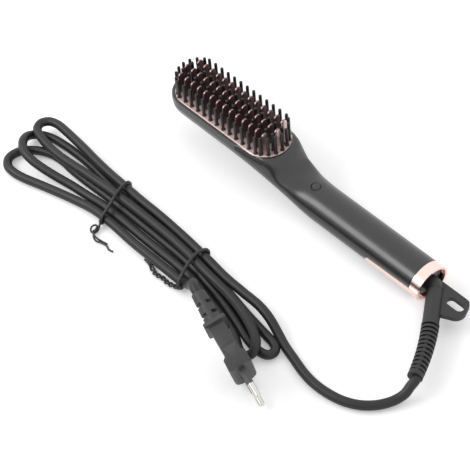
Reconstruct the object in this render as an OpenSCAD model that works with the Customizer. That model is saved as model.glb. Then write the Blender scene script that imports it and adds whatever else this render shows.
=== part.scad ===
// Heated straightening comb with a swivel cord, a hanging tab and a two-pin plug.
// Millimetres, +Z up. The handle lies along X with its rear end at +X, and rests on Z = 0.

/* [Body] */
// Length of the body from the nose of the head to the rear of the collar
body_len = 220; // [210:1:250]
// Width of the rim of the head round the heating plate
rim_w = 2.25; // [2:0.05:3.5]
// Depth of the head from its rim to its underside
head_depth = 17; // [16:0.5:20]
// Height of the rim of the head above the surface the handle rests on
rim_z = 32.5; // [31:0.5:36]
// Width of the oval handle behind the neck
handle_w = 26; // [25:0.5:30]
// Height of the oval handle
handle_h = 21; // [20.5:0.5:24]
// Width of the handle at its rear end
tail_w = 25.4; // [24.5:0.1:29]
// Wall of the moulded shells
wall = 2; // [1.8:0.1:2.2]
// Length of the scoop that falls from the rim to the handle
scoop_len = 9; // [7:0.5:12]

/* [Comb] */
// Length of the heating plate
plate_len = 94; // [88:0.5:106]
// Width of the heating plate
plate_w = 32; // [31:0.5:36]
// Thickness of the heating plate
plate_t = 3; // [2.8:0.1:3.4]
// Bevel round the top edge of the heating plate
plate_bevel = 0.5; // [0.3:0.1:0.8]
// Distance from fin to fin along the head
fin_pitch = 5.9; // [5.6:0.1:6.2]
// Width of a fin across the head
fin_w = 5; // [4:0.2:5.2]
// Thickness of a fin
fin_t = 1.1; // [0.9:0.1:1.4]
// Height of a fin above the plate
fin_h = 15; // [10:0.5:18]
// Distance of the two side rows of fins from the middle row
fin_row_y = 8; // [7.8:0.1:8.4]
// Diameter of a bristle
bristle_d = 2.1; // [1.6:0.1:2.2]
// Height of a bristle above the plate
bristle_h = 14.5; // [10:0.5:18]
// Distance of the outer rows of bristles from the edge of the plate
bristle_edge = 2.5; // [2.2:0.1:3]
// Distance of the inner rows of bristles from the middle
inner_row_y = 4; // [3.8:0.1:4.2]
// Distance of the arc of bristles from the round end of the plate
arc_edge = 1.8; // [1.6:0.1:2.2]

/* [Heater] */
// Width of a heating element
element_w = 14; // [12:0.5:16]
// Thickness of a heating element
element_t = 2.6; // [2:0.1:2.8]
// Thickness of the insulating film over the elements
film_t = 0.3; // [0.2:0.05:0.5]
// Thickness of the steel clamp that presses the elements to the plate
clamp_t = 1; // [0.8:0.1:1.2]
// Thickness of the tray that holds the plate in the shell
tray_t = 1.5; // [1.3:0.1:1.8]

/* [Controls] */
// Distance of the power button behind the middle of the round heel of the head
button_back = 43.05; // [42.5:0.05:50]
// Diameter of the power button
button_d = 6.4; // [5:0.1:7]
// Travel of the power button
button_travel = 0.6; // [0.3:0.1:0.8]
// Width of the rim that keeps the power button in the shell
button_rim = 0.5; // [0.4:0.1:0.6]
// Diameter of an indicator lens
lens_d = 1.4; // [1:0.1:2]
// Free length behind the circuit board, in front of the rear screw boss
board_gap = 15; // [12:0.5:20]
// Width of the circuit board
board_w = 17; // [14:0.5:18]
// Thickness of the circuit board
board_t = 1.6; // [1:0.1:2]

/* [Collar] */
// Length of the collar behind the shells
collar_len = 6.8; // [5:0.2:9]
// Wall of the collar
collar_wall = 1.5; // [1.2:0.1:1.8]
// Length of the side tongues of the collar
tongue_len = 35; // [20:1:40]
// Height of the side tongues above the shells
tongue_rise = 0.7; // [0.3:0.1:1]
// Length of the spigot that holds the collar in the shells
spigot_len = 5; // [3:0.5:6]

/* [Swivel] */
// Radius of the swivel stem and of the tube of the strain relief
stem_r = 5; // [4.5:0.1:5.5]
// Running clearance of the stem in its bore
swivel_gap = 0.05; // [0.02:0.01:0.1]
// Thickness of the end cap that carries the swivel
cap_t = 5; // [4:0.5:6]
// Depth of the end cap below the rear edge of the collar
cap_recess = 2.5; // [1.5:0.5:4]

/* [Strain relief] */
// Angle at which the strain relief leaves the axis of the handle
elbow_angle = 53; // [40:1:70]
// Length of the smooth tube behind the elbow
tube_len = 24; // [20:1:30]
// Number of ribs
rib_count = 13; // [8:1:13]
// Distance from rib to rib
rib_pitch = 3; // [2.8:0.1:3.2]
// Thickness of a rib
rib_t = 1.7; // [1.2:0.1:2]
// Angle through which the ribbed length bends
rib_bend = 14; // [5:1:20]
// Thickness of the hanging tab
tab_t = 3.2; // [2.5:0.1:4]
// Width of the slot in the hanging tab
slot_w = 5.8; // [5:0.1:6.4]
// Length of the slot in the hanging tab
slot_len = 12; // [10:0.5:12]

/* [Cord] */
// Diameter of the cord
cord_d = 5.9; // [5.2:0.1:6.2]
// Height of the hank of cord
hank_h = 10.6; // [9:0.1:12]
// Thickness of a twist tie
tie_t = 0.9; // [0.6:0.1:1.2]
// Width of a twist tie
tie_w = 2; // [1.6:0.2:4]

/* [Plug] */
// Width of the plug across its two pins
plug_w = 35.3; // [34:0.1:36]
// Thickness of the plug
plug_t = 13.7; // [13:0.1:14.4]
// Length of the plug from its face to its boot
plug_len = 34; // [32:0.5:36]
// Length of the boot behind the plug
boot_len = 21; // [18:0.5:24]
// Distance between the middles of the pins
pin_spacing = 19; // [18.5:0.1:19.2]
// Diameter of a pin
pin_d = 4; // [3.9:0.05:4.1]
// Length of a pin from the face of the plug
pin_len = 19; // [18.5:0.1:19.5]
// Length of the insulating sleeve on a pin
sleeve_len = 10; // [9:0.5:11]

/* [Hidden] */
$fn = 64;

black = [0.13, 0.13, 0.14];
rose = [0.86, 0.62, 0.55];
steel = [0.75, 0.76, 0.78];

// ---- Places along the body ----
axis_z = handle_h / 2;
head_len = plate_len + 2 * rim_w;
head_w = plate_w + 2 * rim_w;
head_r = head_w / 2;
head_x = -body_len / 2 + head_len / 2;
nose_x = head_x - head_len / 2 + head_r;
heel_x = head_x + head_len / 2 - head_r;
collar_x = body_len / 2 - collar_len;
neck_start = heel_x - 20;
neck_end = heel_x + 38;
belly_end = heel_x + 52;
head_seam_z = rim_z - 4.5;
underside_z = rim_z - head_depth;
plate_r = plate_w / 2;
plate_straight = plate_len / 2 - plate_r;

// ---- Seats and clearances ----
fit_gap = 0.15;
overcut = 1;
plate_low_z = rim_z - plate_t;
ledge_w = 1.3;
ledge_t = 1;
tray_top_z = plate_low_z - ledge_t;
roof_z = tray_top_z - 0.1;
post_y = plate_w / 2 - 4.75;

function blend(x, from, to) = let (t = min(1, max(0, (x - from) / (to - from)))) t * t * (3 - 2 * t);

// Outline of the body: half its width, its seam, its underside, and its top with the scoop behind the rim.
function taper(x) = min(1, max(0, (x - neck_end) / (collar_x - neck_end))) * (handle_w - tail_w) / 2;
function half_w(x) = head_r + (handle_w / 2 - head_r) * blend(x, neck_start, neck_end) - taper(x);
function seam_z(x) = head_seam_z + (axis_z - head_seam_z) * blend(x, neck_start, belly_end);
function belly_z(x) = underside_z * (1 - blend(x, neck_start, belly_end));
function rim_gap(x, y) = x > heel_x ? norm([x - heel_x, y]) - head_r : 0;
function crown_z(x, y) = rim_z - (rim_z - handle_h) * blend(rim_gap(x, y), 0, scoop_len);
function crown_power(x) = 12 - 10 * blend(x, heel_x, neck_end);
function belly_power(x) = 2.1 - 0.1 * blend(x, neck_start, belly_end);

// One point of the section at x, at angle u from the right seam over the top (side 1) or underneath (side -1).
function body_point(x, u, side, inset) =
  let (
    nose = min(1, max(0, (nose_x - x) / (head_r - inset))),
    across = cos(u),
    y = (half_w(x) - inset) * sqrt(1 - nose * nose) * across,
    rho = min(1, sqrt(nose * nose + (1 - nose * nose) * across * across)),
    power = side > 0 ? crown_power(x) : belly_power(x),
    rise = pow(1 - pow(rho, power), 1 / power),
    roof = inset > 0 ? min(crown_z(x, y) - inset, roof_z) : crown_z(x, y),
    end_z = side > 0 ? roof : belly_z(x) + inset
  ) [x, y, seam_z(x) + (end_z - seam_z(x)) * rise];

arc_steps = 16;
function half_ring(x, side, inset, skirt) = concat(
  skirt > 0 ? [body_point(x, 0, side, inset) - [0, 0, side * skirt]] : [],
  [for (k = [0 : arc_steps]) body_point(x, 180 * k / arc_steps, side, inset)],
  skirt > 0 ? [body_point(x, 180, side, inset) - [0, 0, side * skirt]] : []);

function nose_stations(inset) = [for (a = [84 : -12 : 0]) nose_x - (head_r - inset) * sin(a)];
neck_stations = [for (k = [0 : 24]) neck_start + (belly_end - neck_start) * k / 24];
function stations(inset, last) = concat(nose_stations(inset), neck_stations, [last]);

// Closes a list of equal rings into one solid. The rings run along X or along a tube's path.
module skin(rings) {
  n = len(rings[0]);
  m = len(rings);
  sides = [for (i = [0 : m - 2], j = [0 : n - 1]) let (a = i * n + j, b = i * n + (j + 1) % n)
    each [[a, b, b + n], [a, b + n, a + n]]];
  start = [for (j = [n - 1 : -1 : 0]) j];
  finish = [for (j = [0 : n - 1]) (m - 1) * n + j];
  polyhedron(points = [for (r = rings) each r], faces = concat(sides, [start, finish]), convexity = 6);
}

module half_body(side, inset, last, skirt) {
  rings = [for (x = stations(inset, last)) half_ring(x, side, inset, skirt)];
  if (side > 0) skin([for (r = rings) [for (k = [len(r) - 1 : -1 : 0]) r[k]]]);
  else skin(rings);
}

// ---- Small shared shapes ----
module slot_2d(length, width) {
  square([length - width, width], center = true);
  for (s = [-1, 1]) translate([s * (length - width) / 2, 0]) circle(d = width);
}

module slab(length, width, low, high) {
  translate([head_x, 0, low]) linear_extrude(high - low) slot_2d(length, width);
}

module box(x0, x1, width, z0, z1) {
  translate([x0, -width / 2, z0]) cube([x1 - x0, width, z1 - z0]);
}

module drum_x(r, x0, x1, y = 0, z = axis_z) {
  translate([x0, y, z]) rotate([0, 90, 0]) cylinder(r = r, h = x1 - x0);
}

// ---- Screw places ----
front_screw_x = heel_x + 31;
rear_screw_x = collar_x - 19;
screw_xs = [front_screw_x, rear_screw_x];
boss_r = 2.8;
screw_seat = 3.5;
shell_screw_r = 1.15;
shell_head_r = 2.2;
shell_hole_gap = 0.2;

// ---- Board and switch places ----
button_x = heel_x + button_back;
board_x = front_screw_x + boss_r + 2.5;
board_end = rear_screw_x - boss_r - board_gap;
board_len = board_end - board_x;
capacitor_x = board_end - 21;
board_z = axis_z - 2.5;
board_top = board_z + board_t;
switch_w = 6;
switch_h = 3.5;
plunger_r = 1.75;
plunger_top = board_top + switch_h + 1.5;
button_top = handle_h + 0.05;
flange_z = handle_h - wall - 1.8;
lens_y = button_d / 2 + button_rim + lens_d / 2 + 0.25;
lens_places = [[button_x + 0.5, -lens_y], [button_x + 2.6, lens_y]];

// ---- Tongue and collar ----
tongue_tip_z = axis_z - 0.7;
tongue_tip_r = 1.8;
tongue_top = 1.6;
tongue_drop = 6;
tongue_t = 1.1;

module tongue_side(grow) {
  tip_x = collar_x - tongue_len + tongue_tip_r;
  rotate([90, 0, 0]) linear_extrude(2 * handle_w, center = true) union() {
    translate([tip_x, tongue_tip_z]) circle(r = tongue_tip_r + grow);
    polygon([[tip_x, tongue_tip_z + tongue_tip_r + grow], [collar_x, axis_z + tongue_top + grow],
      [body_len / 2, axis_z + tongue_top + grow], [body_len / 2, axis_z - tongue_drop - grow],
      [collar_x, axis_z - tongue_drop - grow], [tip_x, tongue_tip_z - tongue_tip_r - grow]]);
  }
}

oval_steps = 2 * arc_steps;
function oval(x, a, b) = [for (k = [0 : oval_steps - 1])
  [x, a * cos(360 * k / oval_steps), axis_z - b * sin(360 * k / oval_steps)]];
// Straight oval bar that follows the taper of the handle, inset from its surface.
module oval_bar(profile) {
  skin([for (p = profile) oval(p[0], half_w(min(p[0], collar_x)) - p[1], axis_z - p[1])]);
}

// ---- The shells ----
module upper_shell() {
  color(black) difference() {
    union() {
      difference() {
        half_body(1, 0, collar_x, 0);
        half_body(1, wall, collar_x + overcut, 1);
        slab(plate_len + 2 * fit_gap, plate_w + 2 * fit_gap, plate_low_z, rim_z + overcut);
        slab(plate_len - 2 * ledge_w, plate_w - 2 * ledge_w, tray_top_z - overcut, rim_z);
        slab(plate_len - 0.4, plate_w - 0.4, tray_top_z - tray_t - fit_gap, tray_top_z);
      }
      for (x = screw_xs) translate([x, 0, seam_z(x)]) cylinder(r = boss_r, h = handle_h - wall / 2 - seam_z(x));
    }
    for (x = screw_xs) translate([x, 0, seam_z(x) - overcut])
      cylinder(r = shell_screw_r - 0.05, h = handle_h - wall - 1.5 - seam_z(x) + overcut);
    translate([button_x, 0, flange_z]) cylinder(d = button_d + 0.14, h = handle_h);
    for (p = lens_places) translate([p[0], p[1], axis_z]) cylinder(d = lens_d + 0.04, h = handle_h);
    tongue_recess();
  }
}

module lower_shell() {
  color(black) difference() {
    union() {
      difference() {
        half_body(-1, 0, collar_x, 0);
        half_body(-1, wall, collar_x + overcut, 1);
      }
      for (x = screw_xs) translate([x, 0, belly_z(x) + wall / 2 + 0.4])
        cylinder(r = boss_r, h = seam_z(x) - belly_z(x) - wall / 2 - 0.4);
      for (f = [0.15, 0.85]) let (x = board_x + f * board_len)
        box(x - 0.8, x + 0.8, 10, belly_z(x) + 1.2, board_z);
      for (x = [head_x - 24, head_x + 18], s = [-1, 1]) translate([0, s * post_y, 0])
        box(x - 1.5, x + 1.5, 2.5, belly_z(x) + wall + 1.8, tray_top_z - tray_t);
    }
    for (x = screw_xs) {
      translate([x, 0, -overcut]) cylinder(r = shell_head_r + 0.3, h = belly_z(x) + screw_seat + overcut);
      translate([x, 0, 0]) cylinder(r = shell_screw_r + shell_hole_gap, h = seam_z(x) + overcut);
    }
    tongue_recess();
  }
}

module tongue_recess() {
  difference() {
    tongue_side(fit_gap / 2);
    oval_bar([[collar_x - tongue_len - 5, tongue_t + fit_gap], [collar_x + overcut, tongue_t + fit_gap]]);
  }
}

// ---- Heating plate, its fins and the bristles ----
bristle_row_y = plate_w / 2 - bristle_edge;
end_arc_r = plate_r - arc_edge;
side_count = floor((plate_straight + 7.6) / fin_pitch + 0.5);
mid_count = floor((plate_straight + end_arc_r - 3.5) / fin_pitch);
outer_count = floor((plate_straight + 5) / fin_pitch);
function side_fin_xs() = [for (k = [-side_count : side_count - 1]) head_x + (k + 0.5) * fin_pitch];
function mid_fin_xs() = [for (k = [-mid_count : mid_count]) head_x + k * fin_pitch];
function outer_bristle_xs() = [for (k = [-outer_count : outer_count]) head_x + k * fin_pitch];
function arc_places() = [for (s = [-1, 1], k = [-3 : 3])
  [head_x + s * (plate_straight + end_arc_r * cos(19.4 * k)), end_arc_r * sin(19.4 * k)]];
function bristle_places() = concat(
  [for (x = outer_bristle_xs(), s = [-1, 1]) [x, s * bristle_row_y]],
  [for (x = mid_fin_xs(), s = [-1, 1]) [x, s * inner_row_y]],
  arc_places());
bristle_root = 2;
plate_boss_x = plate_len / 2 - 5;
clamp_boss_x = plate_boss_x - 7.5;
element_len = clamp_boss_x - 4.5;
clamp_z = plate_low_z - film_t - element_t;

module fin(x, y) {
  translate([x - fin_t / 2, y, rim_z]) rotate([90, 0, 90]) linear_extrude(fin_t) union() {
    translate([-fin_w / 2, 0]) square([fin_w, fin_h - fin_w / 2]);
    translate([0, fin_h - fin_w / 2]) circle(d = fin_w);
  }
}

module heating_plate() {
  color(rose) difference() {
    union() {
      slab(plate_len, plate_w, plate_low_z, rim_z - plate_bevel);
      translate([head_x, 0, rim_z - plate_bevel]) {
        for (s = [-1, 1]) translate([s * plate_straight, 0, 0])
          cylinder(r1 = plate_r, r2 = plate_r - plate_bevel, h = plate_bevel, $fn = 96);
        rotate([90, 0, 90]) linear_extrude(2 * plate_straight, center = true)
          polygon([[-plate_r, 0], [plate_r, 0], [plate_r - plate_bevel, plate_bevel],
            [plate_bevel - plate_r, plate_bevel]]);
      }
      for (s = [-1, 1]) {
        translate([head_x + s * plate_boss_x, 0, tray_top_z]) cylinder(r = 2.4, h = ledge_t + 0.5);
        translate([head_x + s * clamp_boss_x, 0, clamp_z]) cylinder(r = 2.2, h = film_t + element_t + 0.5);
      }
    }
    for (p = bristle_places()) translate([p[0], p[1], rim_z - bristle_root])
      cylinder(d = bristle_d + 0.04, h = bristle_root + overcut);
    for (s = [-1, 1]) {
      translate([head_x + s * plate_boss_x, 0, tray_top_z - overcut]) cylinder(r = 1, h = ledge_t + 1 + overcut);
      translate([head_x + s * clamp_boss_x, 0, clamp_z - overcut]) cylinder(r = 1, h = 3.5 + overcut);
    }
  }
}

module comb_fins() {
  color(rose) {
    for (x = side_fin_xs(), s = [-1, 1]) fin(x, s * fin_row_y);
    for (x = mid_fin_xs()) fin(x, 0);
  }
}

module bristles() {
  color(black) for (p = bristle_places()) translate([p[0], p[1], rim_z - bristle_root]) rotate_extrude()
    union() {
      square([bristle_d / 2, bristle_root + bristle_h - bristle_d / 2]);
      translate([0, bristle_root + bristle_h - bristle_d / 2]) intersection() {
        circle(d = bristle_d);
        square(bristle_d);
      }
    }
}

// ---- Heater under the plate ----
element_xs = [head_x - element_len / 2 - 1, head_x + element_len / 2 + 1];

module heater_film() {
  color([0.8, 0.5, 0.15])
    box(element_xs[0] - element_len / 2, element_xs[1] + element_len / 2, element_w, plate_low_z - film_t, plate_low_z);
}

module heater_elements() {
  color([0.4, 0.4, 0.42]) for (x = element_xs)
    box(x - element_len / 2, x + element_len / 2, element_w, clamp_z, plate_low_z - film_t);
}

module heater_clamp() {
  color(steel) difference() {
    translate([head_x, 0, clamp_z - clamp_t]) linear_extrude(clamp_t) slot_2d(2 * clamp_boss_x + 8, 8);
    for (s = [-1, 1]) translate([head_x + s * clamp_boss_x, 0, clamp_z - clamp_t - overcut])
      cylinder(r = 1.3, h = clamp_t + 2 * overcut);
  }
}

module heater_tray() {
  low = tray_top_z - tray_t;
  color([0.85, 0.85, 0.8]) difference() {
    slab(plate_len - 0.6, plate_w - 0.6, low, tray_top_z);
    translate([head_x, 0, low - overcut]) linear_extrude(tray_t + 2 * overcut)
      square([2 * clamp_boss_x + 9, element_w + 4], center = true);
    for (s = [-1, 1]) translate([head_x + s * plate_boss_x, 0, low - overcut])
      cylinder(r = 1.3, h = tray_t + 2 * overcut);
  }
}

module small_screw(x, seat, length) {
  translate([x, 0, seat]) cylinder(r = 0.95, h = length);
  translate([x, 0, seat - 1.2]) cylinder(r = 1.9, h = 1.2);
}

module plate_screws() {
  color(steel) for (s = [-1, 1]) {
    small_screw(head_x + s * plate_boss_x, tray_top_z - tray_t, tray_t + ledge_t + 0.8);
    small_screw(head_x + s * clamp_boss_x, clamp_z - clamp_t, clamp_t + 3);
  }
}

module thermal_fuse() {
  color([0.8, 0.78, 0.7]) drum_x(1.2, head_x - 5, head_x + 5, 0, clamp_z - clamp_t - 1.2);
}

module temperature_sensor() {
  color([0.75, 0.55, 0.2]) translate([head_x - 2, element_w / 2 + 0.2, plate_low_z - 1.5]) cube([4, 1.6, 1.5]);
}

// ---- Power button, its switch and the board ----
module power_button() {
  color(black) union() {
    translate([button_x, 0, flange_z]) cylinder(d = button_d, h = button_top - flange_z);
    translate([button_x, 0, flange_z - 1]) cylinder(d = button_d + 2 * button_rim, h = 1);
    translate([button_x, 0, plunger_top]) cylinder(r = 1.5, h = flange_z - plunger_top);
  }
}

module switch_plunger() {
  color([0.7, 0.2, 0.15]) translate([button_x, 0, board_top + 1.2])
    cylinder(r = plunger_r, h = plunger_top - board_top - 1.2);
}

module tact_switch() {
  color([0.2, 0.2, 0.22]) difference() {
    box(button_x - switch_w / 2, button_x + switch_w / 2, switch_w, board_top, board_top + switch_h);
    translate([button_x, 0, board_top + 0.5]) cylinder(r = plunger_r + 0.06, h = switch_h);
  }
}

function surface_z(x, y) = axis_z + (handle_h - axis_z) * sqrt(1 - pow(y / half_w(x), 2));

module indicator_lenses() {
  color([0.75, 0.78, 0.8]) for (p = lens_places) let (top = surface_z(p[0], p[1]))
    translate([p[0], p[1], board_top + 2]) cylinder(d = lens_d, h = top - board_top - 2);
}

module indicator_leds() {
  color([0.9, 0.9, 0.85]) for (p = lens_places)
    translate([p[0] - 0.8, p[1] - 0.6, board_top]) cube([1.6, 1.2, 2]);
}

module circuit_board() {
  color([0.1, 0.4, 0.2]) box(board_x, board_x + board_len, board_w, board_z, board_top);
}

module power_capacitor() {
  color([0.75, 0.15, 0.12]) box(capacitor_x, capacitor_x + 13, 6, board_top, board_top + 7.5);
}

module power_triac() {
  middle = (button_x + switch_w / 2 + capacitor_x) / 2;
  color([0.15, 0.15, 0.16]) box(middle - 2.5, middle + 2.5, 7, board_top, board_top + 6);
}

module shell_screws() {
  color(steel) for (x = screw_xs) let (seat = belly_z(x) + screw_seat) {
    translate([x, 0, seat]) cylinder(r = shell_screw_r - 0.05, h = handle_h - wall - 2.5 - seat);
    translate([x, 0, seat - 1.6]) cylinder(r = shell_head_r, h = 1.6);
  }
}

// ---- Tubes swept along a route: leads and cords ----
function unit(v) = v / norm(v);
function route_way(route, i) = unit(route[min(i + 1, len(route) - 1)] - route[max(i - 1, 0)]);
function route_ring(route, i, r, count) =
  let (way = route_way(route, i), side = unit(cross([0, 0, 1], way)), up = cross(way, side))
  [for (k = [0 : count - 1]) route[i] + r * (cos(360 * k / count) * side + sin(360 * k / count) * up)];

module tube(route, r, count) {
  skin([for (i = [0 : len(route) - 1]) route_ring(route, i, r, count)]);
}

lead_r = 0.8;
module heater_leads() {
  color([0.95, 0.95, 0.9]) for (s = [-1, 1]) tube([
    [head_x + 8, s * 4.5, clamp_z - 1.6], [head_x + 24, s * 5.5, clamp_z - 2.4], [heel_x + 6, s * 6, rim_z - 12],
    [heel_x + 16, s * 6, axis_z + 5.5], [front_screw_x, s * 6, axis_z + 2.5], [board_x + 3, s * 6, board_top + lead_r]],
    lead_r, 8);
}

module power_leads() {
  color([0.3, 0.35, 0.6]) for (s = [-1, 1]) tube([
    [board_end - 4, s * 6, board_top + lead_r], [rear_screw_x - 8, s * 6, axis_z + 1],
    [rear_screw_x, s * 5.5, axis_z], [stem_x - 4, s * 2, axis_z], [stem_x + 3, s * 1.6, axis_z]], lead_r, 8);
}

// ---- Collar, end cap and swivel ----
cap_x = body_len / 2 - cap_recess - cap_t;
stem_x = cap_x - 4;
groove_r = stem_r - 1;
spigot_inset = wall + fit_gap;

module end_collar() {
  lip = 0.4;
  color(rose) union() {
    difference() {
      oval_bar([[collar_x, 0], [body_len / 2 - lip, 0], [body_len / 2, lip]]);
      oval_bar([[collar_x - overcut, collar_wall], [body_len / 2 + overcut, collar_wall]]);
    }
    difference() {
      oval_bar([[collar_x - spigot_len, spigot_inset], [collar_x + 1, spigot_inset]]);
      oval_bar([[collar_x - spigot_len - overcut, spigot_inset + 1], [collar_x + 2, spigot_inset + 1]]);
    }
    difference() {
      oval_bar([[collar_x, 0.5], [collar_x + 1.2, 0.5]]);
      oval_bar([[collar_x - overcut, spigot_inset + 0.5], [collar_x + 3, spigot_inset + 0.5]]);
    }
    intersection() {
      difference() {
        oval_bar([[collar_x - tongue_len - 5, -tongue_rise], [body_len / 2 - 2 * lip, -tongue_rise],
          [body_len / 2 - lip, -lip]]);
        oval_bar([[collar_x - tongue_len - 6, tongue_t], [body_len / 2 + overcut, tongue_t]]);
      }
      tongue_side(0);
    }
  }
}

module end_cap() {
  color(black) difference() {
    oval_bar([[cap_x, spigot_inset + 1.1], [cap_x + cap_t, spigot_inset + 1.1]]);
    drum_x(stem_r + swivel_gap, cap_x - overcut, cap_x + cap_t + overcut);
  }
}

retainer_t = 1.4;
module swivel_retainer() {
  color(steel) difference() {
    drum_x(stem_r + 2.2, cap_x - 0.05 - retainer_t, cap_x - 0.05);
    drum_x(groove_r + 0.03, cap_x - 5, cap_x + overcut);
  }
}

// ---- Strain relief with its hanging tab ----
elbow_x = body_len / 2 + 2.6;
elbow_r = 8;
elbow_reach = elbow_r * tan(elbow_angle / 2);
elbow_way = [cos(elbow_angle), -sin(elbow_angle)];
rib_start = [elbow_x, 0] + (elbow_reach + tube_len) * elbow_way;
rib_length = rib_count * rib_pitch;
rib_r = rib_length / (rib_bend * PI / 180);
rib_centre = rib_start + rib_r * [-elbow_way[1], elbow_way[0]] * -1;
function rib_place(f) = let (a = 90 - elbow_angle - rib_bend * f)
  rib_centre + rib_r * [cos(a), sin(a)];
relief_end = rib_place(1);
core_r = cord_d / 2 + 0.75;
root_r = stem_r + 0.3;
end_rib_r = cord_d / 2 + 1.6;
tab_side_y = 4.5;
slot_mid = [elbow_x + 18.2, -3];

module on_axis() { translate([0, 0, axis_z]) children(); }

module tab_2d() {
  difference() {
    hull() {
      translate([elbow_x + 1.5, tab_side_y - 0.5]) circle(r = 0.5);
      translate([elbow_x + 20.5, tab_side_y - 4.5]) circle(r = 4.5);
      translate([elbow_x + 20.4, -5.4]) circle(r = 6.6);
      translate([elbow_x + 12.5, -15]) circle(r = 1.5);
      translate([elbow_x + 2, -3]) circle(r = 1);
    }
    translate(slot_mid) slot_2d(slot_len, slot_w);
  }
}

module strain_relief() {
  color(black) difference() {
    union() {
      difference() {
        drum_x(stem_r, stem_x, elbow_x - elbow_reach);
        difference() {
          drum_x(stem_r + overcut, cap_x - 0.1 - retainer_t, cap_x);
          drum_x(groove_r, cap_x - 5, cap_x + overcut);
        }
      }
      on_axis() translate([elbow_x - elbow_reach, -elbow_r, 0]) rotate([0, 0, 90 - elbow_angle])
        rotate_extrude(angle = elbow_angle) translate([elbow_r, 0]) circle(r = stem_r + fit_gap);
      on_axis() translate([elbow_x + elbow_reach * elbow_way[0], elbow_reach * elbow_way[1], 0])
        rotate([0, 90, -elbow_angle]) cylinder(r = stem_r, h = tube_len + 0.5);
      on_axis() translate([rib_centre[0], rib_centre[1], 0]) rotate([0, 0, 90 - elbow_angle - rib_bend])
        rotate_extrude(angle = rib_bend) translate([rib_r, 0]) circle(r = core_r);
      for (k = [0 : rib_count - 1]) rib(k);
      on_axis() for (s = [-1, 1]) translate([rib_centre[0], rib_centre[1], 0])
        rotate([0, 0, 90 - elbow_angle - rib_bend]) rotate_extrude(angle = rib_bend * (rib_count - 3) / rib_count)
        translate([rib_r, s * (core_r - 0.2)]) square([1.8, 2], center = true);
      on_axis() translate([0, 0, -tab_t / 2]) linear_extrude(tab_t) tab_2d();
    }
    drum_x(2.6, stem_x - overcut, stem_x + 6);
  }
}

// One rib: a disc across the bent length, slimmer towards the cord.
module rib(k) {
  f = (k + 0.5) / rib_count;
  at = rib_place(f);
  last = k == rib_count - 1;
  on_axis() translate([at[0], at[1], 0]) rotate([0, 90, -elbow_angle - rib_bend * f])
    cylinder(r = root_r + (end_rib_r - root_r) * f, h = last ? rib_t + 1.3 : rib_t, center = true);
}

// ---- Cord: the free lead, the tied hank and the tail that rises to the plug ----
cord_r = cord_d / 2;
// Middle line of the lead, from inside the strain relief to inside the hank.
lead_route = concat(
  [[relief_end[0] - 2.4 * cos(elbow_angle + rib_bend), relief_end[1] + 2.4 * sin(elbow_angle + rib_bend), axis_z],
    [relief_end[0], relief_end[1], axis_z]],
  [[150.5, -61, 8.8], [150.5, -65.5, 6], [149, -70, 4], [147, -74.5, 3.2], [143, -81, 3], [137, -87, 3],
    [129, -91.5, 3], [120, -94, 3], [109, -95, 3], [99, -94, 3], [87, -91, 3], [76, -88, 3.2], [70, -86, 4.2]]);
// Outline of the hank: the three loops, the bundle and the two turns at its rear.
hank_left = [[-155, -80.5, 10.5], [-150, -105.5, 12], [-80, -87, 15]];
hank_bundle = [[-80, -87, 15], [5, -88, 14.5]];
hank_right = [[5, -88, 14.5], [64, -89.5, 12.5], [66, -99, 10.5]];
hank_z = tie_t;
tail_route = [[-2, -99, 4], [4.5, -99.4, 7], [9.5, -100.4, 11.5], [13.5, -101.8, 17], [17, -103.9, 22.8],
  [20.3, -106.5, 28], [23.8, -109.2, 32], [27.8, -111.1, 33.6], [31.6, -112, 33.1], [34.4, -112.7, 32.3]];

module cord_lead() { color(black) tube(lead_route, cord_r, 10); }

module cord_hank() {
  color(black) translate([0, 0, hank_z]) linear_extrude(hank_h) union() {
    for (part = [hank_left, hank_bundle, hank_right]) hull()
      for (c = part) translate([c[0], c[1]]) circle(r = c[2], $fn = 48);
  }
}

module cord_tail() { color(black) tube(tail_route, cord_r, 10); }

// A tie: a flat loop round the bundle and its twisted ends lying beside it.
module twist_tie(at, width, slant, tail_from, tail_to) {
  run = tail_to - tail_from;
  translate([at[0], at[1], 0]) rotate([0, 0, slant]) rotate([90, 0, 90]) linear_extrude(tie_w, center = true)
    difference() {
      translate([-width / 2 - tie_t, 0]) square([width + 2 * tie_t, hank_h + 2 * tie_t]);
      translate([-width / 2, tie_t]) square([width, hank_h]);
    }
  translate([tail_from[0], tail_from[1], 1.1]) rotate([0, 90, atan2(run[1], run[0])])
    cylinder(r = 1, h = norm(run));
}

module cord_ties() {
  color([0.08, 0.08, 0.08]) {
    twist_tie([-77.5, -87.2], 34, 18, [-72.5, -103.8], [-49, -113.5]);
    twist_tie([-2.4, -88], 33, 18, [3, -104], [-29.5, -103.8]);
  }
}

// ---- Plug, standing on its narrow edge with its pins down ----
plug_face = [82.9, -124.7, 17.9];
plug_turn = [13, 16, -13.9];
block_len = 8;
waist_dip = 1.2;
boot_front_r = 5.4;
boot_rear_r = 4.1;
pin_core = pin_d / 2 - 0.45;

module in_plug() { translate(plug_face) rotate(plug_turn) children(); }
module along_plug(r1, r2, x0, x1) { translate([x0, 0, 0]) rotate([0, 90, 0]) cylinder(r1 = r1, r2 = r2, h = x1 - x0); }

module plug_profile() {
  half = plug_w / 2;
  waist = half * 0.48;
  shoulder = half * 0.64;
  side = concat(
    [[0, half - 4], [-3.5, half], [-block_len, half]],
    [for (a = [15 : 15 : 90]) [-block_len - 9 * sin(a), half - (half - waist) * (1 - cos(a))]],
    [[4 - plug_len, waist + 0.4], [2.5 - plug_len, shoulder], [-plug_len, shoulder - 1.5], [-plug_len, 0]]);
  polygon(concat(side, [for (k = [len(side) - 2 : -1 : 0]) [side[k][0], -side[k][1]]]));
}

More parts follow.
